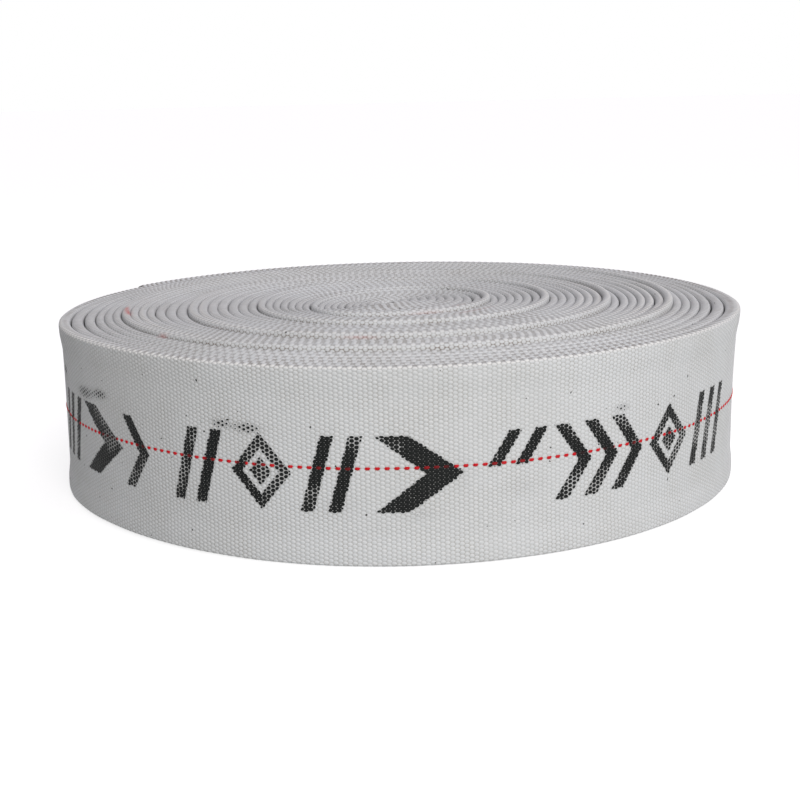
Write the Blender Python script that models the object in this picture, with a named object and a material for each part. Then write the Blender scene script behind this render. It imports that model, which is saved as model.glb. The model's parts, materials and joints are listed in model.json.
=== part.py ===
"""A woven lay-flat fire hose, rolled up flat side to flat side and lying on one face of the roll.

The hose is one long flattened tube: a woven jacket, the rubber lining pressed flat inside it,
and a coloured tracer yarn along the middle of the jacket's outer face. It is wound as a spiral
about +Z. The free outer end can be peeled off the roll, so it is cut into short lengths on
hinges, and the roll can be pushed out into a cone, so it is cut into rings of turns that slide
along the axis.
"""

import math

import bmesh
import bpy
from mathutils import Vector

TAU = 2 * math.pi

# The flattened hose.
FLAT_WIDTH = 0.082
FLAT_THICKNESS = 0.0036
JACKET_WALL = 0.0010
LINING_THICKNESS = 0.0010  # two walls of 0.5 mm pressed together
TRACER_WIDTH = 0.0014
TRACER_THICKNESS = 0.0002
FIT_GAP = 0.0003

# The roll. "Wound" angles run inwards along the hose, from 0 at its free outer end.
TURN_PITCH = 0.0044
TURNS = 37.5  # wound down to a tight fold, so the roll has no open eye
OUTER_RADIUS = 0.1681  # middle of the hose's thickness at its outer end
END_ANGLE = math.radians(150)  # where the outer end lies, counter-clockwise from +X

# Where the hose is divided.
TAIL_SEGMENTS = 6
SEGMENT_ANGLE = math.radians(20)
TAIL_ANGLE = TAIL_SEGMENTS * SEGMENT_ANGLE
RING_CUT_ANGLE = math.radians(60)  # each cut between rings lies this far round from the outer end
RING_CUT_TURNS = (6, 13, 20, 27)
RING_NAMES = ("outer", "second", "third", "fourth", "core")

# Facets: the outermost turn is finer than the turns that it hides.
FINE_STEP = math.radians(10)
COARSE_STEP = math.radians(20)
FINE_UNTIL = TAIL_ANGLE + TAU

JACKET_COLOUR = (0.60, 0.60, 0.57, 1.0)
LINING_COLOUR = (0.03, 0.03, 0.03, 1.0)
TRACER_COLOUR = (0.55, 0.02, 0.02, 1.0)


def clear_scene():
    for obj in list(bpy.data.objects):
        bpy.data.objects.remove(obj, do_unlink=True)


def new_collection(name):
    collection = bpy.data.collections.new(name)
    bpy.context.scene.collection.children.link(collection)
    return collection


def new_material(name, colour, roughness):
    material = bpy.data.materials.new(name)
    material.use_nodes = True
    shader = material.node_tree.nodes["Principled BSDF"]
    shader.inputs["Base Color"].default_value = colour
    shader.inputs["Roughness"].default_value = roughness
    shader.inputs["Metallic"].default_value = 0.0
    material.diffuse_color = colour
    return material


def middle_radius(wound):
    return OUTER_RADIUS - TURN_PITCH * wound / TAU


def spiral_point(wound, outward, height):
    """A point beside the spiral: outward from the middle of the thickness, height above the floor."""
    angle = END_ANGLE - wound
    radius = middle_radius(wound) + outward
    return Vector((radius * math.cos(angle), radius * math.sin(angle), height))


def wound_stations(start, end):
    """Wound angles from start to end on whole facet steps, with half a gap left free at each end."""
    trim_start = FIT_GAP / 2 / middle_radius(start)
    trim_end = FIT_GAP / 2 / middle_radius(end)
    stations = [start + trim_start]
    wound = start
    while True:
        wound += FINE_STEP if wound < FINE_UNTIL - FINE_STEP / 2 else COARSE_STEP
        if wound > end - FINE_STEP / 2:
            break
        stations.append(wound)
    return stations + [end - trim_end]


def roll_centre():
    """The middle of the roll's plan outline, which is not the spiral's own axis."""
    outline = [spiral_point(w, FLAT_THICKNESS / 2, 0) for w in wound_stations(0, FINE_UNTIL)]
    xs = [point.x for point in outline]
    ys = [point.y for point in outline]
    return Vector(((min(xs) + max(xs)) / 2, (min(ys) + max(ys)) / 2, 0))


def rectangle(inner, outer, bottom, top):
    return ((inner, bottom), (outer, bottom), (outer, top), (inner, top))


def add_tube_faces(shape, rings):
    """Walls between each ring of corners and the next."""
    for near, far in zip(rings, rings[1:]):
        for i in range(len(near)):
            j = (i + 1) % len(near)
            shape.faces.new((near[i], near[j], far[j], far[i]))


def swept_mesh(name, stations, centre, outline, bore=None):
    """Carries an outline of (outward, height) corners along the spiral, with radial end faces.

    Radial ends let neighbours meet face to face at a cut. With a bore, a second outline with as
    many corners, the piece is an open-ended tube. Without one it is solid.
    """
    shape = bmesh.new()

    def rings_of(profile):
        return [
            [shape.verts.new(spiral_point(wound, *corner) - centre) for corner in profile]
            for wound in stations
        ]

    outer_rings = rings_of(outline)
    add_tube_faces(shape, outer_rings)
    if bore:
        inner_rings = rings_of(bore)
        add_tube_faces(shape, inner_rings)
        for end in (0, -1):
            add_tube_faces(shape, (outer_rings[end], inner_rings[end]))
    else:
        for end in (0, -1):
            shape.faces.new(outer_rings[end])
    bmesh.ops.recalc_face_normals(shape, faces=shape.faces)
    mesh = bpy.data.meshes.new(name)
    shape.to_mesh(mesh)
    shape.free()
    return mesh


def add_piece(name, mesh, material, parent, collection):
    piece = bpy.data.objects.new(name, mesh)
    mesh.materials.append(material)
    collection.objects.link(piece)
    piece.parent = parent
    piece.matrix_parent_inverse = parent.matrix_world.inverted()


def add_jacket(name, stations, centre, material, parent, collection):
    """The woven sheath, open at both ends."""
    half = FLAT_THICKNESS / 2
    outline = rectangle(-half, half, 0, FLAT_WIDTH)
    wall = JACKET_WALL
    bore = rectangle(wall - half, half - wall, wall, FLAT_WIDTH - wall)
    mesh = swept_mesh(name, stations, centre, outline, bore)
    add_piece(name, mesh, material, parent, collection)


def add_lining(name, stations, centre, material, parent, collection):
    """The lining tube pressed flat, clear of the jacket all round."""
    half = LINING_THICKNESS / 2
    edge = JACKET_WALL + FIT_GAP
    outline = rectangle(-half, half, edge, FLAT_WIDTH - edge)
    mesh = swept_mesh(name, stations, centre, outline)
    add_piece(name, mesh, material, parent, collection)


def add_tracer(name, stations, centre, material, parent, collection):
    """The tracer yarn, a flat thread along the middle of the outer face."""
    inner = FLAT_THICKNESS / 2 + FIT_GAP
    middle = FLAT_WIDTH / 2
    half = TRACER_WIDTH / 2
    outline = rectangle(inner, inner + TRACER_THICKNESS, middle - half, middle + half)
    mesh = swept_mesh(name, stations, centre, outline)
    add_piece(name, mesh, material, parent, collection)


def add_axis(name, at, parent, collection):
    """An empty on a joint's axis, as the parent of the pieces that the joint carries."""
    axis = bpy.data.objects.new(name, None)
    axis.empty_display_size = 0.02
    collection.objects.link(axis)
    axis.location = at
    if parent:
        axis.location = at - parent.matrix_world.translation
        axis.parent = parent
    bpy.context.view_layer.update()
    return axis


def build_rings(centre, materials, base, collection):
    """The rings of turns, each carried by the one outside it. The outermost ring stands on the floor."""
    jacket, lining, tracer = materials
    cuts = [TAIL_ANGLE]
    cuts += [RING_CUT_ANGLE + TAU * turns for turns in RING_CUT_TURNS]
    cuts += [TAU * TURNS]
    parent = base
    for ring, start, end in zip(RING_NAMES, cuts, cuts[1:]):
        if ring != RING_NAMES[0]:
            parent = add_axis(f"{ring}_ring_slide", -centre, parent, collection)
        stations = wound_stations(start, end)
        add_jacket(f"{ring}_ring_jacket", stations, centre, jacket, parent, collection)
        add_lining(f"{ring}_ring_lining", stations, centre, lining, parent, collection)
        if ring == RING_NAMES[0]:
            add_tracer(f"{ring}_ring_tracer", stations, centre, tracer, parent, collection)


def build_tail(centre, materials, base, collection):
    """The free end, from the segment that joins the roll to the one with the open mouth."""
    jacket, lining, tracer = materials
    parent = base
    for number in range(1, TAIL_SEGMENTS + 1):
        start = TAIL_ANGLE - number * SEGMENT_ANGLE
        end = start + SEGMENT_ANGLE
        hinge = spiral_point(end, FLAT_THICKNESS / 2, FLAT_WIDTH / 2) - centre
        parent = add_axis(f"tail_{number}_hinge", hinge, parent, collection)
        stations = wound_stations(start, end)
        add_jacket(f"tail_{number}_jacket", stations, centre, jacket, parent, collection)
        add_lining(f"tail_{number}_lining", stations, centre, lining, parent, collection)
        add_tracer(f"tail_{number}_tracer", stations, centre, tracer, parent, collection)


def build():
    clear_scene()
    collection = new_collection("rolled_fire_hose")
    materials = (
        new_material("woven_jacket", JACKET_COLOUR, 0.8),
        new_material("rubber_lining", LINING_COLOUR, 0.6),
        new_material("tracer_yarn", TRACER_COLOUR, 0.7),
    )
    centre = roll_centre()
    base = add_axis("roll_base", Vector((0, 0, 0)), None, collection)
    build_rings(centre, materials, base, collection)
    build_tail(centre, materials, base, collection)


build()
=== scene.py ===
"""The rolled fire hose: its woven jacket, lining and tracer yarn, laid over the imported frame.

The hose is one long flat tube wound into a spiral. Its middle line is worked out turn by turn,
and a closed cross-section carried along that line gives the jacket. Every point of the jacket
knows how far along and how far round the hose it lies, in weave columns and rows, so that the
relief of the mesh and the pattern of the material agree.
"""

import json
import math

import bpy
import numpy as np
from mathutils import Matrix, Vector


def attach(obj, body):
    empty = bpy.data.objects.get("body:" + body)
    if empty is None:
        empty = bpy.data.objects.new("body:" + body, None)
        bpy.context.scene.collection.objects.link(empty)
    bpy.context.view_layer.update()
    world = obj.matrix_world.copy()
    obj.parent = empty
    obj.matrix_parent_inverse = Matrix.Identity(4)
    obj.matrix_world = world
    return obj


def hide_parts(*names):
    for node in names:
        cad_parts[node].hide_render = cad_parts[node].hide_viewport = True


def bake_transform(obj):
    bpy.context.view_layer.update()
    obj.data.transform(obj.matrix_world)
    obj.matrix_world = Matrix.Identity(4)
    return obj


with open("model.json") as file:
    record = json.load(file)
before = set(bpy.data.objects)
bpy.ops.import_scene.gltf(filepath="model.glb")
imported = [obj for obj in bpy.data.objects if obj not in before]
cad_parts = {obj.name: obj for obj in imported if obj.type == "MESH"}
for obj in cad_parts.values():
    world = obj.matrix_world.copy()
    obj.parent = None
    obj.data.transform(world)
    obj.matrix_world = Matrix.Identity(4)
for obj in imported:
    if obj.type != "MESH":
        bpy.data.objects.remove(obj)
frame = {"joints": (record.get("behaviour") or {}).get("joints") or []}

TAU = 2 * math.pi
MM = 0.001
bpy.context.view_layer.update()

# The hose and its roll, as the CAD has them.
FLAT_WIDTH = 0.082
TURN_PITCH = 0.0044
TURNS = 37.5
OUTER_RADIUS = 0.1681
END_ANGLE = math.radians(150)
TAIL_ANGLE = math.radians(120)
SEGMENT_ANGLE = math.radians(20)
TAIL_SEGMENTS = 6
RING_NAMES = ("outer", "second", "third", "fourth", "core")
RING_CUT_ANGLE = math.radians(60)
RING_CUT_TURNS = (6, 13, 20, 27)

# The weave: a column is one weft yarn along the hose, and a row one warp yarn. Rows are counted
# from the middle of the outer face, so the upper fold's crest is a quarter of the way round.
COLUMN = 1.93 * MM
ROWS_ROUND = 192
CREST = ROWS_ROUND // 4
RELIEF = 0.28 * MM
# The relief's extra share on the upper crest, and what is left of it under the roll, so that the
# roll rests flat.
CREST_RELIEF = 0.35
LOWER_RELIEF = 0.3

# The flattened hose: half its thickness in the middle, the height of a fold's rounded part, the
# fold's least and most thickness, and the gap that two folds keep. Then the jacket's wall and half
# the lining's thickness, as a cut mouth shows them, and half the CAD's thickness.
HALF_THICK = 1.7 * MM
CAP_HEIGHT = 1.35 * MM
LEAST_FOLD = 3.2 * MM
MOST_FOLD = 5.2 * MM
GAP = 0.16 * MM
WALL = 0.9 * MM
LINING_HALF = 0.5 * MM
CAD_HALF_THICK = 1.8 * MM

# Path samples in one turn.
STEPS = 720

# How the jacket is shared out: arcs of the outermost turn, and metres of hose in a piece within.
OUTER_ARCS = 12
MOST_RING_LENGTH = 3.4

# How strong the white behind the roll looks, and the floor's own glow. Then what the sky casts:
# from the left and from the right, how many times that from high up, and how much more from low
# down behind.
BACKDROP = 1.0
FLOOR_GLOW = 0.60
LEFT_SKY = 0.16
RIGHT_SKY = 0.47
HIGH_SKY = 1.82
BACK_SKY = 0.5
FRONT_WATTS = 17.4


# ---------------------------------------------------------------- the middle line of the hose


def bump(angle, centre, half_width):
    """A smooth window round centre, all in radians and taken round the circle."""
    away = np.abs((angle - centre + math.pi) % TAU - math.pi)
    return np.where(away < half_width, np.cos(away / half_width * math.pi / 2) ** 2, 0.0)


def eased(part):
    """A share from 0 to 1 that starts and ends gently."""
    return part * part * (3 - 2 * part)


def smooth_noise(count, spacing, seed):
    """A smooth random line of count samples between -1 and 1, with a new value every spacing."""
    knots = np.random.default_rng(seed).uniform(-1, 1, int(count / spacing) + 4)
    at = np.arange(count) / spacing
    low = at.astype(int)
    part = eased(at - low)
    return knots[low] * (1 - part) + knots[low + 1] * part


def blurred(values, width):
    """Values with a moving average of the given width in samples, run twice."""
    kernel = np.ones(width) / width
    for _ in range(2):
        padded = np.pad(values, width // 2, mode="edge")
        values = np.convolve(padded, kernel, mode="valid")[: len(values)]
    return values


def keyed(turn, keys):
    """Values in mm set at given turns, joined by straight lines."""
    return np.interp(turn, [key[0] for key in keys], [key[1] for key in keys])


# Extra room between a turn and the one outside it: (turn, world angle, half width, mm), with the
# angle and the half width in degrees.
LOOSE_PLACES = (
    (1, -10, 60, 2.2), (2, -8, 62, 2.0), (3, -4, 55, 0.8), (4, 0, 50, 0.3), (8, -4, 40, 0.7),
    (12, 0, 45, 0.7), (1, -90, 55, 0.8), (2, -90, 55, 0.8), (3, -90, 60, 0.5), (4, -90, 60, 0.4),
    (5, -90, 60, 0.3), (2, 190, 50, 2.5), (3, 188, 55, 2.0), (4, 186, 50, 1.1), (7, 182, 42, 0.5),
    (11, 184, 40, 0.9), (12, 188, 34, 1.5), (13, 188, 32, 1.7), (14, 187, 30, 1.3),
    (18, 176, 45, 0.6), (22, -10, 50, 0.8), (28, 170, 60, 0.8), (29, 20, 60, 0.9),
    (33, 200, 70, 0.8),
)
# The turns between these two are a little looser all the way round.
LOOSE_TURNS = (14, 21)
LOOSE_ROOM = 0.5 * MM
# How far chance moves a turn outwards or inwards, and up or down.
ROOM_CHANCE = 0.14 * MM
LEVEL_CHANCE = 0.16 * MM

# How high each turn's upper edge stands over the outermost one's, in mm, by turn. The turn that
# begins each ring stands proud from the back round to the front, and the middle of the roll is a
# little sunk.
LEVEL_KEYS = (
    (0.0, 0.0), (0.6, 0.0), (2.0, 0.2), (4.0, 0.6), (5.95, 1.0), (6.3, 3.4), (6.72, 3.3),
    (6.95, 1.9), (7.5, 1.9), (9.0, 1.4), (12.95, 0.7), (13.3, 3.1), (13.72, 3.0), (13.95, 1.8),
    (14.5, 1.6), (17.0, 1.0), (19.95, 0.2), (20.3, 2.3), (20.75, 2.1), (20.95, 1.0), (21.5, 0.8),
    (26.95, -0.4), (27.3, 1.6), (27.8, 1.4), (28.0, 0.1), (28.5, -0.4), (37.5, -1.2),
)
# The outermost turn stands up a little at the front left.
FRONT_LEFT = math.radians(222)
FRONT_LEFT_REACH = math.radians(38)
FRONT_LEFT_RISE = 1.1 * MM
# Where the middle of each turn lies, in mm right of and behind the middle of the roll, by turn.
DRIFT_RIGHT = ((0, 0), (13, 0), (20.5, 2.4), (28, 1.5), (37.5, -5.0))
DRIFT_BACK = ((0, 0), (13, 0), (20.5, 5.5), (28, 3.0), (37.5, 8.5))


def extra_room(wound):
    """The room that each turn has to the one outside it, over or under the plain spiral's."""
    turn = wound / TAU
    room = np.zeros(len(wound))
    for at_turn, degrees, half_width, millimetres in LOOSE_PLACES:
        first = END_ANGLE - math.radians(degrees)
        own_turn = np.round((wound - first) / TAU) == at_turn
        place = bump(END_ANGLE - wound, math.radians(degrees), math.radians(half_width))
        room += np.where(own_turn, place, 0) * millimetres * MM
    room += ROOM_CHANCE * smooth_noise(len(wound), STEPS / 5, 3)
    room += LOOSE_ROOM * ((turn > LOOSE_TURNS[0]) & (turn < LOOSE_TURNS[1]))
    room[: STEPS + 1] = 0
    return blurred(room, 41)


def wound_radius(wound):
    """The distance from the middle. Along any ray from the middle the turns share out the plain
    spiral's depth, more of it where a turn is loose."""
    plain = OUTER_RADIUS - TURN_PITCH * wound / TAU
    extra = extra_room(wound)
    radius = plain.copy()
    for i in range(STEPS):
        below = np.arange(i + STEPS, len(wound), STEPS)
        total = plain[i] - plain[below[-1]]
        base = (total - extra[below].sum()) / len(below)
        radius[below] = plain[i] - np.cumsum(base + extra[below])
    return blurred(radius, 25)


def wound_path():
    """The middle line by wound angle: its points, outward normals, level, fold thickness and
    length so far."""
    count = int(TURNS * STEPS) + 1
    wound = np.arange(count) * TAU / STEPS
    turn = wound / TAU
    angle = END_ANGLE - wound
    radius = wound_radius(wound)

    x = radius * np.cos(angle) + blurred(keyed(turn, DRIFT_RIGHT), STEPS) * MM
    y = radius * np.sin(angle) + blurred(keyed(turn, DRIFT_BACK), STEPS) * MM
    # The innermost turns are pressed into an S.
    reach = np.exp(-((x / (50 * MM)) ** 2) - (y / (48 * MM)) ** 2)
    y = y + reach * 8.5 * MM * np.sin((x + 7 * MM) / (18 * MM))
    x = x + reach * 2.0 * MM * np.sin(y / (15 * MM))

    level = keyed(turn, LEVEL_KEYS) * MM
    level += np.clip(turn / 2, 0, 1) * LEVEL_CHANCE * smooth_noise(count, STEPS / 3, 5)
    level += FRONT_LEFT_RISE * bump(angle, FRONT_LEFT, FRONT_LEFT_REACH) * (turn < 1)
    level = blurred(level, 45)

    point = np.stack([x, y], axis=1)
    step = np.gradient(point, axis=0)
    length = np.concatenate([[0], np.cumsum(np.linalg.norm(np.diff(point, axis=0), axis=1))])
    tangent = step / np.linalg.norm(step, axis=1)[:, None]
    outward = np.stack([-tangent[:, 1], tangent[:, 0]], axis=1)

    # A fold swells until it nearly meets the nearer of its two neighbours.
    across = np.abs(((point[STEPS:] - point[:-STEPS]) * outward[:-STEPS]).sum(axis=1))
    room = np.concatenate([across[:STEPS], across])
    room[:-STEPS] = np.minimum(room[:-STEPS], across)
    fold = np.clip(blurred(room, 31) - GAP, LEAST_FOLD, MOST_FOLD)
    return {"wound": wound, "x": x, "y": y, "out_x": outward[:, 0], "out_y": outward[:, 1],
            "level": level, "fold": fold, "length": length}


def place_on_axis(path):
    """Moves the path so that its outer face passes through the CAD's first hinge."""
    hinge = next(joint for joint in frame["joints"] if joint["name"] == "tail_1_hinge")["pos_m"]
    face = OUTER_RADIUS - TURN_PITCH * TAIL_ANGLE / TAU + CAD_HALF_THICK
    angle = END_ANGLE - TAIL_ANGLE
    path["x"] += hinge[0] - face * math.cos(angle)
    path["y"] += hinge[1] - face * math.sin(angle)
    return path


PATH = place_on_axis(wound_path())
HOSE_LENGTH = float(PATH["length"][-1])


def length_at(wound):
    """The length of hose from its outer end to a wound angle."""
    return float(np.interp(wound, PATH["wound"], PATH["length"]))


def path_at(lengths):
    """The path's values at some lengths, as columns that broadcast over rows."""
    return {key: np.interp(lengths, PATH["length"], PATH[key])[:, None] for key in PATH}


# ---------------------------------------------------------------- the cross-section


HALF_WIDTH = FLAT_WIDTH / 2
STRAIGHT = HALF_WIDTH - CAP_HEIGHT
QUARTER = STRAIGHT + CAP_HEIGHT * math.pi / 2
ROW = 4 * QUARTER / ROWS_ROUND


def section(rows):
    """For rows counted upwards from the middle of the outer face and on round the hose: the side
    (1 outer, -1 inner, between on the folds), which is also the normal's outward part, the height
    from the middle, and the normal's upward part."""
    along = np.asarray(rows) * ROW
    quarter = (along + QUARTER) % (4 * QUARTER)
    inner = quarter > 2 * QUARTER
    rise = np.where(inner, 4 * QUARTER - quarter, quarter) - QUARTER
    past = np.clip((np.abs(rise) - STRAIGHT) / CAP_HEIGHT, 0, math.pi / 2)
    height = np.sign(rise) * (np.minimum(np.abs(rise), STRAIGHT) + CAP_HEIGHT * np.sin(past))
    return np.where(inner, -1, 1) * np.cos(past), height, np.sign(rise) * np.sin(past)


def swell(height):
    """0 on the flat middle of the hose and 1 beside its folded edges, where it is thicker."""
    return eased(np.clip((np.abs(height) - 27 * MM) / (10 * MM), 0, 1))


# A float's size in the weave, as squared columns and rows to a crown's edge.
ACROSS = 3.3
UPWARD = 1.02
FALL = 1.25


def crown(column, row):
    """The weave's height, 0 in a hollow and 1 on a crown, for places in columns and rows. The
    floats lie in two staggered sets, so the nearer of the two counts."""
    column, row = np.abs((column + 1) % 2 - 1), np.abs((row + 1) % 2 - 1)
    even = ACROSS * column**2 + UPWARD * row**2
    odd = ACROSS * (1 - column) ** 2 + UPWARD * (1 - row) ** 2
    return np.clip(1 - np.minimum(even, odd) / FALL, 0, 1)


def woven(rows):
    """The weave's row at each row of the mesh. It stands still over the upper fold's crest for two
    rows, which draws the floats there long. Two rows are a whole repeat, so the weave stays in
    step."""
    rows = np.asarray(rows)
    return rows - np.clip(rows - (CREST - 1), 0, 2)


def face_lean(angle, height):
    """How far the outermost turn's face leans out of its plain spiral, in metres: at the right
    towards its upper edge, at the left towards its lower edge, and in a faint ripple all round."""
    upper = np.clip((height + 8 * MM) / (49 * MM), 0, 1) ** 1.5
    lower = np.clip((18 * MM - height) / (59 * MM), 0, 1) ** 1.5
    lean = 1.9 * MM * upper * bump(angle, math.radians(-8), math.radians(34))
    lean += 1.1 * MM * lower * bump(angle, math.radians(192), math.radians(34))
    ripple = np.sin(angle * 23 + height * 40) * np.sin(angle * 9 + 1.3) * np.cos(height * 55)
    return lean + 0.16 * MM * ripple


def upright(level, height):
    """Heights above the floor. A turn that stands proud is lifted off the floor, and a sunk one
    rests on it and is a little narrower."""
    share = np.clip(0.5 + height / FLAT_WIDTH, 0, 1)
    return HALF_WIDTH + np.maximum(level, 0) + height + np.minimum(level, 0) * share


def outermost(wound):
    """1 on the outermost turn, fading to 0 just inside it."""
    return np.clip((1.12 - wound / TAU) / 0.1, 0, 1)


def surface(lengths, rows, relief):
    """Points of the jacket as an array of columns, rows and x, y, z."""
    rows = np.asarray(rows)
    at = path_at(lengths)
    side, height, normal_up = (part[None, :] for part in section(rows))
    half_fold = at["fold"] / 2
    half_flat = np.minimum(HALF_THICK, half_fold)
    half = half_flat + (half_fold - half_flat) * swell(height)
    lean = outermost(at["wound"]) * face_lean(END_ANGLE - at["wound"], height)
    outward = side * half + lean * (0.5 + 0.5 * side)
    rise = crown(lengths[:, None] / COLUMN, woven(rows)[None, :]) - 0.5
    rise = relief * rise * (1 + CREST_RELIEF * np.exp(-(((rows[None, :] - CREST + 1) / 3) ** 2)))
    outward = outward + rise * side
    z = upright(at["level"], height) + rise * normal_up * np.where(height > 0, 1, LOWER_RELIEF)
    x = at["x"] + at["out_x"] * outward
    y = at["y"] + at["out_y"] * outward
    return np.stack(np.broadcast_arrays(x, y, z), axis=2)


# ---------------------------------------------------------------- meshes


def grid_faces(columns, rows, closed=False):
    """Quads of a grid of points stored column by column, joined round when closed."""
    across = rows if closed else rows - 1
    low = np.arange(columns - 1)[:, None] * rows + np.arange(across)[None, :]
    high = np.arange(columns - 1)[:, None] * rows + (np.arange(across)[None, :] + 1) % rows
    return np.stack([low, high, high + rows, low + rows], axis=2).reshape(-1, 4)


def new_mesh(name, points, faces, normals=None, attributes=()):
    """A smooth mesh object of quads. attributes are (name, values), a number or three a point."""
    mesh = bpy.data.meshes.new(name)
    mesh.vertices.add(len(points))
    mesh.vertices.foreach_set("co", points.astype(np.float32).ravel())
    mesh.loops.add(faces.size)
    mesh.loops.foreach_set("vertex_index", faces.astype(np.int32).ravel())
    mesh.polygons.add(len(faces))
    mesh.polygons.foreach_set("loop_start", np.arange(0, faces.size, 4, dtype=np.int32))
    mesh.update(calc_edges=True)
    mesh.shade_smooth()
    for label, values in attributes:
        kind, field = ("FLOAT", "value") if values.ndim == 1 else ("FLOAT_VECTOR", "vector")
        layer = mesh.attributes.new(label, kind, "POINT")
        layer.data.foreach_set(field, values.astype(np.float32).ravel())
    if normals is not None:
        mesh.normals_split_custom_set_from_vertices(normals)
    piece = bpy.data.objects.new(name, mesh)
    bpy.context.scene.collection.objects.link(piece)
    return piece


def spaced(start, end, spacing):
    """Lengths from start to end, both included, and every whole multiple of spacing between."""
    inside = np.arange(math.ceil(start / spacing), math.floor(end / spacing) + 1) * spacing
    inside = inside[(inside > start + spacing * 0.2) & (inside < end - spacing * 0.2)]
    return np.concatenate([[start], inside, [end]])


# ---------------------------------------------------------------- marks, soil and stains


# The printed band's heights above the floor, and its marks, all in mm.
BAND_LOW = 23.0
BAND_HIGH = 54.0
BAND_MIDDLE = (BAND_LOW + BAND_HIGH) / 2
STROKE = 5.0
STROKE_LEAN = 9.0
STROKE_PITCH = 11.5
CHEVRON_WIDTH = 11.0
DIAMOND_WIDTH = 26.0


def bar(x, z, at, low):
    """Depth inside one leaning stroke, from a height low up to the band's upper edge. Like every
    depth here it is in mm, above 0 inside and below 0 outside."""
    lean = STROKE_LEAN / (BAND_HIGH - low)
    left = at + lean * (z - low)
    sides = np.minimum(x - left, left + STROKE - x) / math.hypot(1, lean)
    return np.minimum(sides, np.minimum(z - low, BAND_HIGH - z))


def joined(*depths):
    return np.maximum.reduce(depths)


def stripes(x, z, at, count, low=BAND_LOW):
    return joined(*[bar(x, z, at + STROKE_PITCH * i, low) for i in range(count)])


def nose(x, z, at, width):
    """Depth inside a shape that ends on the right in a point at half height."""
    slope = 2 * width / (BAND_HIGH - BAND_LOW)
    return (at + width - x - np.abs(z - BAND_MIDDLE) * slope) / math.hypot(1, slope)


def arrowhead(x, z, at):
    """A broad arrowhead, notched at its back."""
    return np.minimum(nose(x, z, at + 13, 22), -nose(x, z, at, 20))


def chevron(x, z, at):
    outer = nose(x, z, at + STROKE, CHEVRON_WIDTH)
    return np.minimum(outer, -nose(x, z, at - STROKE * 0.2, CHEVRON_WIDTH))


def target(x, z, at):
    """A diamond's outline with a smaller diamond inside it."""
    half_x = DIAMOND_WIDTH / 2
    half_z = (BAND_HIGH - BAND_LOW) / 2
    inside = 1 - np.abs(x - at - half_x) / half_x - np.abs(z - BAND_MIDDLE) / half_z
    depth = inside / math.hypot(1 / half_x, 1 / half_z)
    return joined(np.minimum(depth, 3.6 - depth), depth - 6.4)


def within_band(depth, z):
    return np.minimum(depth, np.minimum(z - BAND_LOW, BAND_HIGH - z))


def marks(x, z):
    """Depth inside the printed band's stripes, arrowheads, chevrons and diamonds, none of them a
    letter. x is mm round the roll from the front, and z mm above the floor."""
    shapes = [stripes(x, z, at, count) for at, count in ((-211, 3), (-100, 2), (-40, 2), (145, 3))]
    shapes += [stripes(x, z, 36, 2, low=40.0)]
    shapes += [arrowhead(x, z, at) for at in (-169, -9)]
    shapes += [chevron(x, z, at) for at in (-131, 66, 80, 94)]
    shapes += [target(x, z, at) for at in (-70, 115)]
    return within_band(joined(*shapes), z)


# Rubbed ink, in mm round from the front and above the floor.
SMUDGES = (
    (-62, 56, 8, 3.0, 0.44), (-75, 57, 5, 2.5, 0.40), (-168, 58, 12, 4, 0.44),
    (-150, 60, 8, 3, 0.40), (-205, 62, 5, 3, 0.5), (24, 38, 9, 10, 0.22), (-24, 26, 14, 7, 0.2),
    (98, 57, 6, 2.5, 0.36), (-240, 52, 6, 3, 0.46), (52, 30, 14, 6, 0.2), (60, 66, 10, 8, 0.14),
    (8, 22, 10, 4, 0.24),
)


def blobs(across, along, places):
    """Soft spots: places are (across, along, half width, half height, strength)."""
    total = np.zeros(np.broadcast(across, along).shape)
    for at_across, at_along, half_width, half_height, strength in places:
        away = ((across - at_across) / half_width) ** 2 + ((along - at_along) / half_height) ** 2
        total += strength * np.exp(-away)
    return total


def ink_on(x, z):
    """0.5 on the edge of a mark and more inside it, with the smudges round the marks."""
    return np.clip(np.maximum(0.5 + 0.5 * marks(x, z), blobs(x, z, SMUDGES)), 0, 1)


# Where the tracer's dye has come off on the folds, in mm from the middle: (x, y, half length round
# the roll, strength, share of it on the crest). DYE_REACH is a spot's half width along the radius,
# and the turns outside DYE_FROM, a wound angle, have no dye.
DYE_PLACES = (
    (-132, -29, 8, 1.0, 1.0), (-135, -18, 6, 0.8, 0.8), (-104, -96, 3, 0.8, 0.6),
    (-17, -108, 6, 0.9, 0), (-36, -102, 12, 0.4, 0), (-56, -93, 12, 0.35, 0),
    (-72, -82, 12, 0.35, 0), (28, -18, 9, 0.8, 0.5), (37, -34, 12, 0.4, 0.5),
    (14, -40, 12, 0.3, 0.5),
)
DYE_REACH = 1.1
DYE_FROM = 1.5 * TAU


def dye_on(points, from_top):
    """The dye's strength at points whose rows lie from_top away from the upper crest."""
    x, y = points[..., 0] / MM, points[..., 1] / MM
    side = np.exp(-(((from_top - 3.3) / 0.7) ** 2))
    total = np.zeros(x.shape)
    for at_x, at_y, half, strength, share in DYE_PLACES:
        away_x, away_y = x - at_x, y - at_y
        reach = math.hypot(at_x, at_y)
        radial = (away_x * at_x + away_y * at_y) / reach
        around = (away_x * at_y - away_y * at_x) / reach
        spot = strength * np.exp(-((radial / DYE_REACH) ** 2) - (around / half) ** 2)
        total += spot * np.maximum(side, share * (from_top < 5))
    return np.clip(total, 0, 1)


# ---------------------------------------------------------------- pieces


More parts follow.
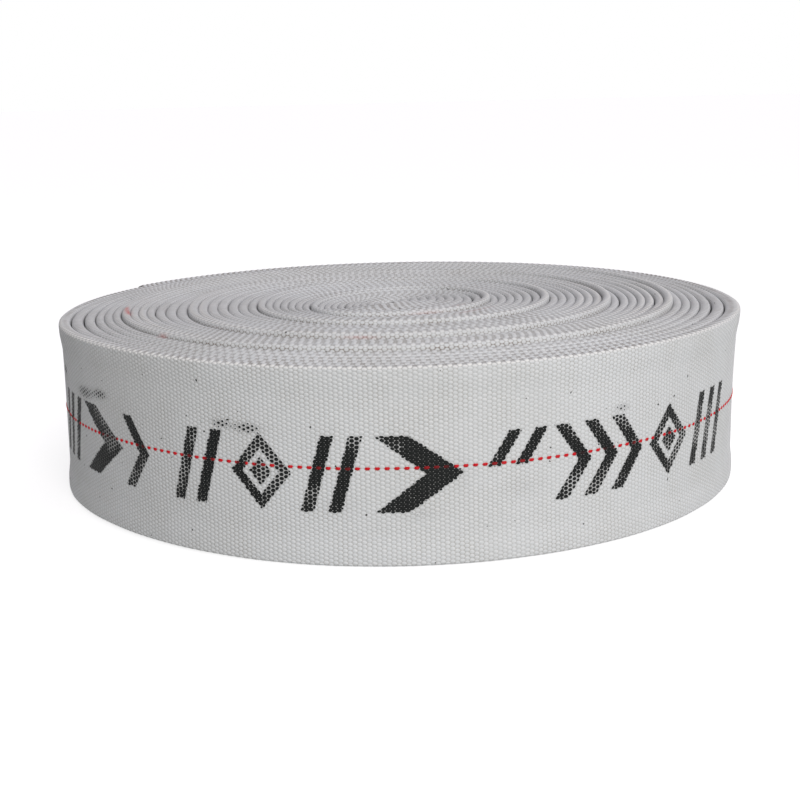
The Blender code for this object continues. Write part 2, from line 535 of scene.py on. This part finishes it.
# The rows that carry points, from the lower crest up the outer face, over the upper crest and
# down the inner face. Where the weave can't be seen they lie far apart.
FINE_FACE = np.arange(-48, 52, 0.5)
HIDDEN_FACE = [52, 54, 57, 62, 78, 96, 114, 130, 137, 140, 142, 144]
OUTER_ROWS = np.concatenate([FINE_FACE, HIDDEN_FACE])
TAIL_ROWS = np.concatenate([FINE_FACE, np.arange(52, 145, 1.0)])
RING_LOW = [-48, -45, -42, -30, 0, 26, 36]
RING_BACK = [62, 96, 130, 138, 141, 144]
RING_ROWS = np.concatenate([RING_LOW, np.arange(41, 56), RING_BACK])
LINING_ROWS = np.array([-48, -46, -40, 0, 40, 46, 48, 50, 56, 96, 136, 142, 144])

# How far apart the points lie along the hose.
OUTER_SPACING = COLUMN / 3
RING_SPACING = COLUMN / 2
LINING_SPACING = 3 * MM
CORE_LINING_SPACING = 1.5 * MM
TRACER_SPACING = COLUMN / 4
HIDDEN_TRACER_SPACING = COLUMN / 2

# How deep the jacket's inner face reaches into a cut mouth, how far the lining stops short of the
# folds, and how far the tracer starts behind the cut.
LIP_DEPTH = 14 * MM
LINING_SHORT = 0.8 * MM
TRACER_SHORT = 0.8 * MM


def round_and_up(lengths, points):
    """For the printed band: mm round the roll from the front, and mm above the floor."""
    wound = np.interp(lengths, PATH["length"], PATH["wound"])
    front = (END_ANGLE - wound + math.pi / 2) * OUTER_RADIUS / MM
    return front[:, None], points[..., 2] / MM


def padded_ends(values, step):
    """The values with one more before and one more after them."""
    return np.concatenate([[values[0] - step], values, [values[-1] + step]])


def jacket_grid(lengths, rows):
    """Points and normals of a stretch of jacket. The normals match across neighbouring pieces."""
    wide_lengths = np.clip(padded_ends(lengths, lengths[1] - lengths[0]), 0, HOSE_LENGTH)
    wide = surface(wide_lengths, padded_ends(rows, 0.5), RELIEF)
    along = wide[2:, 1:-1] - wide[:-2, 1:-1]
    across = wide[1:-1, 2:] - wide[1:-1, :-2]
    normal = np.cross(across, along)
    normal /= np.maximum(np.linalg.norm(normal, axis=2), 1e-12)[:, :, None]
    return wide[1:-1, 1:-1], normal


# Stretches of turns with a darker line at the foot of a raised turn: (from, to, strength).
DARK_LINE_TURNS = ((5.98, 7.0, 0.25), (12.98, 14.0, 0.3), (20.0, 21.0, 0.2), (27.0, 28.0, 0.12))


# Brown patches on the crests, in mm from the middle of the roll.
BROWN_PATCHES = ((-117, -10, 3.5, 13, 0.5), (-64, 6, 3.0, 8, 0.3), (96, 14, 3.0, 12, 0.25),
                 (-8, 0, 4, 14, 0.3))


def near_row(rows, middle, half_width):
    """1 on one row and less towards the rows on both sides of it."""
    return np.exp(-(((rows - middle) / half_width) ** 2))[None, :]


def soil_shade_and_highlight_on(rows, lengths):
    """Dirt and painted shade along the sides of the folds, where the turns press on each other,
    grime all over the folds towards the front, and a darker line at the foot of each raised turn.
    The outermost turn has only a darker line just behind its crest. Where the value is below 0 it
    is painted highlight, just in front of that crest and on the crests of the raised turns."""
    from_top = np.abs(rows - CREST)
    at = path_at(lengths)
    turn = at["wound"] / TAU
    front = 0.5 - 0.5 * np.sin(END_ANGLE - at["wound"])
    # Along the sides of the folds: dirt and painted shade in the gaps between the turns; towards
    # the front, grime on the folds.
    folds = near_row(from_top, 3.8, 1.5) + 0.5 * front * (from_top < 4)[None, :]
    patch = 0.5 + 0.5 * np.sin(lengths * 9.0) * np.sin(lengths * 3.1 + 1.0)
    soil = (0.3 + 0.7 * patch)[:, None] * folds
    # On the outermost turn: a darker line just behind the crest, and painted highlight (below 0)
    # just in front of it.
    crest = 1.2 * near_row(rows, CREST + 0.2, 0.5) - near_row(rows, CREST - 1.4, 0.7)
    soil = soil * (1 - outermost(at["wound"])) + crest * outermost(at["wound"])
    raised = np.clip(at["level"] / (1.5 * MM), 0, 1)
    # Painted highlight (below 0) on the crests of the raised turns.
    soil = soil - 1.1 * raised * near_row(rows, CREST - 0.8, 1.3)
    # A darker line at the foot of each raised turn.
    for low, high, strength in DARK_LINE_TURNS:
        inside = np.clip((turn - low) / 0.15, 0, 1) * np.clip((high - turn) / 0.15, 0, 1)
        soil = soil + strength * inside * near_row(rows, CREST - 3.3, 0.8)
    return soil


def jacket_piece(name, start, end, spacing, rows, mouth=None):
    """A stretch of jacket between two lengths. mouth is "start" or "end" where the hose is cut."""
    lengths = spaced(start, end, spacing)
    points, normals = jacket_grid(lengths, rows)
    count = len(rows)
    column = np.broadcast_to(lengths[:, None] / COLUMN, points.shape[:2])
    row = np.broadcast_to(rows[None, :], points.shape[:2])
    woven_row = np.broadcast_to(woven(rows)[None, :], points.shape[:2])
    x, z = round_and_up(lengths, points)
    printed = (np.abs(row) < CREST - 2) & (lengths[:, None] < length_at(TAIL_ANGLE + TAU))
    ink = np.where(printed, ink_on(x, z), 0.0)
    from_top = np.abs(row - CREST)
    brown = blobs(points[..., 0] / MM, points[..., 1] / MM, BROWN_PATCHES)
    soil = soil_shade_and_highlight_on(rows, lengths) + brown * (from_top < 8)
    dye = dye_on(points, from_top) * (lengths[:, None] > length_at(DYE_FROM))
    faces = grid_faces(len(lengths), count)
    if mouth:
        # The lip: the same points again a wall's thickness within, joined to them round the cut.
        depth = max(4, int(LIP_DEPTH / spacing))
        picked = slice(-depth, None) if mouth == "end" else slice(0, depth)
        inner = points[picked] - normals[picked] * WALL
        base = len(lengths) * count
        inner_faces = grid_faces(depth, count)[:, ::-1] + base
        rim_outer = (len(lengths) - 1) * count if mouth == "end" else 0
        rim_inner = base + ((depth - 1) * count if mouth == "end" else 0)
        i = np.arange(count - 1)
        rim = np.stack([rim_outer + i, rim_outer + i + 1, rim_inner + i + 1, rim_inner + i], axis=1)
        if mouth == "start":
            rim = rim[:, ::-1]
        faces = np.concatenate([faces, inner_faces, rim])
        points = np.concatenate([points, inner])
        normals = np.concatenate([normals, -normals[picked]])
        column, woven_row = (np.concatenate([part, part[picked]]) for part in (column, woven_row))
        ink, dye = (np.concatenate([part, part[picked] * 0]) for part in (ink, dye))
        soil = np.concatenate([soil, soil[picked]])
    weave = np.stack([column, woven_row, np.zeros(column.shape)], axis=2).reshape(-1, 3)
    attributes = [("weave", weave), ("soil", soil.ravel())]
    attributes += [("ink", ink.ravel())] if ink.any() else []
    attributes += [("dye", dye.ravel())] if dye.max() > 0.02 else []
    piece = new_mesh(name, points.reshape(-1, 3), faces, normals.reshape(-1, 3), attributes)
    piece.data.materials.append(JACKET_MATERIAL)
    return piece


def lining_piece(name, start, end, spacing):
    """A stretch of the lining tube, pressed flat."""
    lengths = spaced(start, end, spacing)
    at = path_at(lengths)
    side, height, _ = (part[None, :] for part in section(LINING_ROWS))
    inset = (HALF_WIDTH - WALL - LINING_SHORT) / HALF_WIDTH
    lean = outermost(at["wound"]) * face_lean(END_ANGLE - at["wound"], height)
    outward = side * LINING_HALF + 0.5 * lean
    x = at["x"] + at["out_x"] * outward
    y = at["y"] + at["out_y"] * outward
    z = upright(at["level"], height * inset)
    points = np.stack(np.broadcast_arrays(x, y, z), axis=2)
    faces = grid_faces(len(lengths), len(LINING_ROWS))
    piece = new_mesh(name, points.reshape(-1, 3), faces)
    piece.data.materials.append(LINING_MATERIAL)
    return piece


def tracer_piece(name, start, end, spacing, corners):
    """The tracer yarn: it rises over every second column and dips into the weave between."""
    lengths = spaced(start, end, spacing)
    at = path_at(lengths)
    middle = surface(lengths, [0.0], relief=0.0)
    wave = np.cos(math.pi * lengths / COLUMN)[:, None]
    centre = (-0.13 + 0.33 * wave) * MM
    thick = (0.16 + 0.05 * wave) * MM
    wide = (0.56 + 0.10 * wave) * MM
    turn = np.arange(corners) * TAU / corners
    outward = centre + thick * np.cos(turn)[None, :]
    upward = wide * np.sin(turn)[None, :]
    x = middle[..., 0] + at["out_x"] * outward
    y = middle[..., 1] + at["out_y"] * outward
    points = np.stack([x, y, middle[..., 2] + upward], axis=2)
    faces = grid_faces(len(lengths), corners, closed=True)[:, ::-1]
    front = round_and_up(lengths, points)[0]
    ink = np.broadcast_to(ink_on(front, np.full(front.shape, HALF_WIDTH / MM)), points.shape[:2])
    along = np.broadcast_to(lengths[:, None] / COLUMN, points.shape[:2])
    round_yarn = np.broadcast_to(turn[None, :], points.shape[:2])
    weave = np.stack([along, round_yarn, np.zeros(along.shape)], axis=2).reshape(-1, 3)
    attributes = [("weave", weave), ("ink", ink.ravel())]
    piece = new_mesh(name, points.reshape(-1, 3), faces, None, attributes)
    piece.data.materials.append(TRACER_MATERIAL)
    return piece


# ---------------------------------------------------------------- materials


class Nodes:
    """A short way to write the nodes of a material or a world."""

    def __init__(self, owner):
        owner.use_nodes = True
        self.tree = owner.node_tree
        self.shader = self.tree.nodes.get("Principled BSDF")

    def put(self, target, value):
        if isinstance(value, bpy.types.NodeSocket):
            self.tree.links.new(value, target)
        else:
            target.default_value = value

    def add(self, kind, inputs=(), out=0, **settings):
        made = self.tree.nodes.new(kind)
        for key, value in settings.items():
            setattr(made, key, value)
        for key, value in dict(inputs).items():
            self.put(made.inputs[key], value)
        return made.outputs[out]

    def math(self, operation, a, b, clamp=False):
        return self.add("ShaderNodeMath", {0: a, 1: b}, operation=operation, use_clamp=clamp)

    def plus_share(self, value, other, share):
        """value + other * share"""
        inputs = {0: other, 1: share, 2: value}
        return self.add("ShaderNodeMath", inputs, operation="MULTIPLY_ADD")

    def attribute(self, name, out=2):
        """A mesh attribute: out is 1 for three numbers and 2 for one."""
        settings = {"attribute_name": name, "attribute_type": "GEOMETRY"}
        return self.add("ShaderNodeAttribute", (), out, **settings)

    def mix(self, part, a, b):
        """A colour, from a to b."""
        return self.add("ShaderNodeMix", {0: part, 6: a, 7: b}, 2, data_type="RGBA")

    def ramp(self, value, low, high, to_low=0.0, to_high=1.0, smooth=True):
        inputs = {0: value, 1: low, 2: high, 3: to_low, 4: to_high}
        kind = "SMOOTHSTEP" if smooth else "LINEAR"
        return self.add("ShaderNodeMapRange", inputs, interpolation_type=kind)

    def noise(self, vector, scale, detail=2.0, roughness=0.5):
        inputs = {"Vector": vector, "Scale": scale, "Detail": detail, "Roughness": roughness}
        return self.add("ShaderNodeTexNoise", inputs)

    def scaled(self, vector, factors):
        return self.add("ShaderNodeVectorMath", {0: vector, 1: factors}, operation="MULTIPLY")

    def set_look(self, colour, roughness):
        self.put(self.shader.inputs["Base Color"], colour)
        self.put(self.shader.inputs["Roughness"], roughness)

    def add_relief(self, height, distance):
        """Fine relief that the mesh doesn't carry."""
        inputs = {"Strength": 0.5, "Distance": distance, "Height": height}
        self.put(self.shader.inputs["Normal"], self.add("ShaderNodeBump", inputs))


def weave_height(n, weave):
    """The same height as crown(), from the weave attribute."""
    parts = n.add("ShaderNodeSeparateXYZ", {0: weave}).node.outputs
    column, row = (n.math("PINGPONG", parts[axis], 1.0) for axis in (0, 1))
    other = [n.math("SUBTRACT", 1.0, value) for value in (column, row)]
    distances = []
    for x, y in ((column, row), other):
        across = n.math("MULTIPLY", n.math("MULTIPLY", x, x), ACROSS)
        distances.append(n.plus_share(across, n.math("MULTIPLY", y, y), UPWARD))
    return n.ramp(n.math("MINIMUM", *distances), FALL, 0.0, smooth=False)


def cloth_colour(n, height, place, grain, weave):
    """Off-white polyester: light crowns and hollows darkened as painted shade, then painted
    highlights, grime with painted shade between the turns, dye, smeared ink and specks."""
    cloudy = n.noise(place, 14.0, 4.0, 0.6)
    patchy = n.noise(place, 55.0, 3.0, 0.6)
    yarn = n.noise(n.scaled(weave, (0.9, 0.9, 1.0)), 1.0, 1.0)
    crowns = n.mix(n.ramp(cloudy, 0.35, 0.7), (0.710, 0.728, 0.742, 1), (0.655, 0.668, 0.670, 1))
    crowns = n.mix(n.ramp(yarn, 0.35, 0.75, 0.0, 0.6), crowns, (0.80, 0.80, 0.80, 1))
    # The hollows are painted darker, as shade in the weave's recesses, with a patchy tone.
    hollows = n.mix(n.ramp(patchy, 0.35, 0.75), (0.56, 0.56, 0.555, 1), (0.475, 0.465, 0.445, 1))
    cloth = n.mix(n.ramp(height, 0.02, 0.62), hollows, crowns)

    soil = n.attribute("soil")
    # Painted highlight: where the value is below 0 the crowns are painted brighter, just in front
    # of the outermost turn's crest and on the raised turns' crests.
    wear_and_highlight = n.math("MULTIPLY", n.ramp(soil, -0.2, -0.9, 0.0, 0.75), n.ramp(height, 0.2, 0.8))
    cloth = n.mix(wear_and_highlight, cloth, (0.93, 0.92, 0.89, 1))
    # Brown dirt, with painted shade in the gaps between the turns, settling mostly into the weave's
    # hollows.
    dirt_and_shade = n.math("MULTIPLY", soil, n.ramp(patchy, 0.3, 0.7, 0.4, 1.0))
    dirt_and_shade = n.math("MULTIPLY", dirt_and_shade, n.ramp(height, 0.0, 0.6, 0.9, 0.08), clamp=True)
    cloth = n.mix(dirt_and_shade, cloth, (0.20, 0.155, 0.13, 1))
    dye = n.math("MULTIPLY", n.attribute("dye"), n.ramp(grain, 0.3, 0.6, 0.35, 1.0))
    cloth = n.mix(dye, cloth, (0.60, 0.075, 0.06, 1))
    smear = n.ramp(n.attribute("ink"), 0.04, 0.42, 0.0, 0.22)
    cloth = n.mix(smear, cloth, (0.22, 0.22, 0.22, 1))
    specks = n.ramp(n.noise(place, 520.0, 0.0), 0.86, 0.875)
    return n.mix(specks, cloth, (0.06, 0.06, 0.055, 1))


def ink_cover(n, height, place, grain):
    """Where ink is left. It lies on the crowns first, so the hollows are bare where it is thin or
    worn, and its edges are ragged."""
    worn = n.ramp(n.noise(place, 42.0, 3.0, 0.65), 0.40, 0.66)
    uneven = n.math("SUBTRACT", grain, 0.5)
    edge = n.plus_share(n.attribute("ink"), n.math("SUBTRACT", height, 0.42), 0.44)
    edge = n.plus_share(edge, uneven, 0.30)
    bare = n.ramp(worn, 0.0, 1.0, 0.02, 0.42)
    broken = n.plus_share(n.math("SUBTRACT", height, bare), uneven, 0.55)
    return n.math("MULTIPLY", n.ramp(edge, 0.46, 0.54), n.ramp(broken, -0.06, 0.06))


def jacket_material():
    """The woven polyester with its ink."""
    material = bpy.data.materials.new("woven_polyester")
    n = Nodes(material)
    weave = n.attribute("weave", 1)
    height = weave_height(n, weave)
    place = n.add("ShaderNodeNewGeometry")
    grain = n.noise(n.scaled(weave, (3.0, 9.0, 1.0)), 1.0, 3.0, 0.65)
    cloth = cloth_colour(n, height, place, grain, weave)
    colour = n.mix(ink_cover(n, height, place, grain), cloth, (0.0045, 0.0058, 0.0055, 1))
    n.set_look(colour, n.ramp(grain, 0.3, 0.7, 0.50, 0.68))
    n.shader.inputs["Specular IOR Level"].default_value = 0.18
    n.add_relief(n.plus_share(height, grain, 0.30), 0.16 * MM)
    return material


def tracer_material():
    """Red yarn, its filaments running along it, darkened where the ink has gone over it."""
    material = bpy.data.materials.new("red_yarn")
    n = Nodes(material)
    filaments = n.noise(n.scaled(n.attribute("weave", 1), (1.5, 5.0, 1.0)), 1.0, 3.0, 0.6)
    red = n.mix(n.ramp(filaments, 0.3, 0.7), (0.50, 0.004, 0.010, 1), (0.72, 0.012, 0.020, 1))
    wear_and_highlight = n.ramp(n.noise(n.add("ShaderNodeNewGeometry"), 70.0, 2.0), 0.62, 0.45, 0.55, 1.0)
    inked = n.math("MULTIPLY", n.ramp(n.attribute("ink"), 0.45, 0.7), wear_and_highlight)
    n.set_look(n.mix(inked, red, (0.016, 0.006, 0.006, 1)), n.ramp(filaments, 0.3, 0.7, 0.5, 0.7))
    n.shader.inputs["Specular IOR Level"].default_value = 0.2
    n.add_relief(filaments, 0.08 * MM)
    return material


def lining_material():
    """Matt black rubber with a faint bloom."""
    material = bpy.data.materials.new("black_rubber")
    n = Nodes(material)
    bloom = n.noise(n.add("ShaderNodeNewGeometry"), 60.0, 4.0, 0.6)
    colour = n.mix(bloom, (0.018, 0.018, 0.018, 1), (0.05, 0.05, 0.048, 1))
    n.set_look(colour, n.ramp(bloom, 0.3, 0.7, 0.45, 0.7))
    return material


JACKET_MATERIAL = jacket_material()
TRACER_MATERIAL = tracer_material()
LINING_MATERIAL = lining_material()


# ---------------------------------------------------------------- the hose, stretch by stretch


def held_by(piece, bodies):
    """Rides a piece on one body; with two bodies it only bakes the piece's place into its mesh."""
    if len(bodies) == 1:
        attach(piece, bodies[0])
    else:
        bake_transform(piece)


def make_tail():
    """The free end. Each piece but the tip reaches half a segment to both sides of a hinge. The tip
    has the cut mouth."""
    half = SEGMENT_ANGLE / 2
    tip = f"tail_{TAIL_SEGMENTS}"
    spans = [("tail_tip", 0.0, half, (tip,), tip)]
    for number in range(TAIL_SEGMENTS, 0, -1):
        hinge = TAIL_ANGLE - (number - 1) * SEGMENT_ANGLE
        parent = "outer_ring" if number == 1 else f"tail_{number - 1}"
        body = f"tail_{number}"
        spans.append((f"tail_bend_{number}", hinge - half, hinge + half, (parent, body), body))
    for name, low, high, bodies, node in spans:
        start, end = length_at(low), length_at(high)
        at_tip = low == 0
        mouth = "start" if at_tip else None
        tracer_start = start + (TRACER_SHORT if at_tip else 0)
        jacket = jacket_piece(f"{name}_jacket", start, end, OUTER_SPACING, TAIL_ROWS, mouth)
        lining = lining_piece(f"{name}_lining", start, end, LINING_SPACING)
        tracer = tracer_piece(f"{name}_tracer", tracer_start, end, TRACER_SPACING, 8)
        for piece, part in ((jacket, "jacket"), (lining, "lining"), (tracer, "tracer")):
            held_by(piece, bodies)
            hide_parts(f"{node}_{part}")


def make_outer_turn():
    """The outermost whole turn, in short arcs, so that each keeps its fine weave."""
    half = SEGMENT_ANGLE / 2
    edges = np.linspace(TAIL_ANGLE + half, TAIL_ANGLE + TAU, OUTER_ARCS + 1)
    for number, (low, high) in enumerate(zip(edges, edges[1:]), 1):
        start, end = length_at(low), length_at(high)
        name = f"outer_turn_jacket_{number:02d}"
        jacket = jacket_piece(name, start, end, OUTER_SPACING, OUTER_ROWS)
        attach(jacket, "outer_ring")
        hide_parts("outer_ring_jacket")
    start, end = length_at(edges[0]), length_at(edges[-1])
    tracer = tracer_piece("outer_turn_tracer", start, end, TRACER_SPACING, 8)
    lining = lining_piece("outer_turn_lining", start, end, LINING_SPACING)
    for piece, node in ((tracer, "outer_ring_tracer"), (lining, "outer_ring_lining")):
        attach(piece, "outer_ring")
        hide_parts(node)


def ring_spans():
    """The turns within the outermost one: (name, start, end, bodies, ring) by wound angle. Between
    two rings lies half a turn at the back that joins one to the other."""
    cuts = [RING_CUT_ANGLE + TAU * turns for turns in RING_CUT_TURNS]
    quarter = TAU / 4
    spans = []
    low = TAIL_ANGLE + TAU
    for number, ring in enumerate(RING_NAMES):
        last = number == len(RING_NAMES) - 1
        high = TAU * TURNS if last else cuts[number] - quarter
        spans.append((f"{ring}_turns", low, high, (f"{ring}_ring",), ring))
        if not last:
            inner = RING_NAMES[number + 1]
            spans.append((f"{ring}_to_{inner}", high, high + 2 * quarter,
                          (f"{ring}_ring", f"{inner}_ring"), inner))
            low = high + 2 * quarter
    return spans


def make_rings():
    """The turns within, each stretch in as many jacket pieces as its length needs."""
    for name, low, high, bodies, ring in ring_spans():
        start, end = length_at(low), length_at(high)
        shares = max(1, math.ceil((end - start) / MOST_RING_LENGTH))
        edges = np.linspace(start, end, shares + 1)
        for number, (near, far) in enumerate(zip(edges, edges[1:]), 1):
            last = far >= HOSE_LENGTH - 1e-6
            label = f"{name}_jacket" if shares == 1 else f"{name}_jacket_{number}"
            mouth = "end" if last else None
            jacket = jacket_piece(label, near, far, RING_SPACING, RING_ROWS, mouth)
            held_by(jacket, bodies)
            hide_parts(f"{ring}_ring_jacket")
        spacing = CORE_LINING_SPACING if ring == "core" else LINING_SPACING
        lining = lining_piece(f"{name}_lining", start, end, spacing)
        held_by(lining, bodies)
        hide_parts(f"{ring}_ring_lining")
        if ring == "outer":
            tracer = tracer_piece(f"{name}_tracer", start, end, HIDDEN_TRACER_SPACING, 4)
            held_by(tracer, bodies)
            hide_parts("outer_ring_tracer")


make_tail()
make_outer_turn()
make_rings()


# ---------------------------------------------------------------- floor, light and camera


def make_floor():
    """A plain pale floor, wide enough to fill every view. It glows like a light table to look at,
    and sends no light back up to the hose."""
    bpy.ops.mesh.primitive_plane_add(size=400, location=(0, 0, -0.1 * MM))
    floor = bpy.context.object
    floor.name = "floor"
    material = bpy.data.materials.new("pale_floor")
    shader = Nodes(material).shader
    shader.inputs["Base Color"].default_value = (0.80, 0.80, 0.80, 1)
    shader.inputs["Roughness"].default_value = 1.0
    shader.inputs["Specular IOR Level"].default_value = 0.0
    shader.inputs["Emission Color"].default_value = (1, 1, 1, 1)
    shader.inputs["Emission Strength"].default_value = FLOOR_GLOW
    floor.data.materials.append(material)
    floor.visible_diffuse = False


def make_front_light():
    """One large soft box in front of the roll, to its right and above it."""
    place = Vector((0.38, -1.74, 0.66))
    target = Vector((0.05, -0.1, 0.04))
    light = bpy.data.lights.new("front_box", "AREA")
    light.shape = "RECTANGLE"
    light.size, light.size_y = (1.0, 0.6)
    light.energy = FRONT_WATTS
    light.color = (1.0, 0.995, 0.975)
    lamp = bpy.data.objects.new("front_box", light)
    bpy.context.scene.collection.objects.link(lamp)
    lamp.location = place
    lamp.rotation_euler = (target - place).to_track_quat("-Z", "Y").to_euler()


def make_sky():
    """White all round to look at. What it casts is soft, brighter from the right than from the left
    and from high up, with some low light from behind for the side that faces away from the box."""
    world = bpy.data.worlds.new("studio")
    bpy.context.scene.world = world
    n = Nodes(world)
    background = n.tree.nodes["Background"]
    right, back, up = n.add("ShaderNodeSeparateXYZ", {0: n.add("ShaderNodeTexCoord")}).node.outputs
    cast = n.ramp(right, -0.9, 0.9, LEFT_SKY, RIGHT_SKY)
    cast = n.math("MULTIPLY", cast, n.ramp(up, 0.1, 0.9, 1.0, HIGH_SKY))
    behind = n.ramp(back, 0.3, 0.95, 0.0, BACK_SKY)
    low = n.ramp(up, 0.45, 0.05)
    cast = n.math("ADD", cast, n.math("MULTIPLY", behind, low))
    seen = n.add("ShaderNodeLightPath")
    n.put(background.inputs["Strength"], n.add("ShaderNodeMix", {0: seen, 2: cast, 3: BACKDROP}))
    tint = n.mix(n.ramp(up, 0.1, 0.7), (1.0, 1.0, 1.0, 1), (0.98, 0.94, 1.0, 1))
    n.put(background.inputs["Color"], tint)


def make_camera():
    """The view of the roll from in front and a little above, 0.68 m from its middle."""
    distance = 8.239 * FLAT_WIDTH
    elevation = math.radians(12.0)
    pitch = elevation + math.radians(0.90)
    roll = math.radians(-1.33)
    forward = Vector((0, math.cos(pitch), -math.sin(pitch)))
    right = forward.cross(Vector((0, 0, 1))).normalized()
    up = right.cross(forward)
    turned_right = right * math.cos(roll) + up * math.sin(roll)
    turned_up = up * math.cos(roll) - right * math.sin(roll)
    camera = bpy.data.cameras.new("camera")
    camera.sensor_width = 36.0
    camera.lens = 58.65
    camera.clip_start = 0.01
    camera.clip_end = 1000
    seen = bpy.data.objects.new("camera", camera)
    bpy.context.scene.collection.objects.link(seen)
    axes = Matrix((turned_right, turned_up, -forward)).transposed().to_4x4()
    height = HALF_WIDTH + distance * math.sin(elevation)
    place = Vector((0, -distance * math.cos(elevation), height))
    seen.matrix_world = Matrix.Translation(place) @ axes
    bpy.context.scene.camera = seen


make_floor()
make_sky()
make_front_light()
make_camera()
bpy.context.scene.view_settings.view_transform = "Standard"
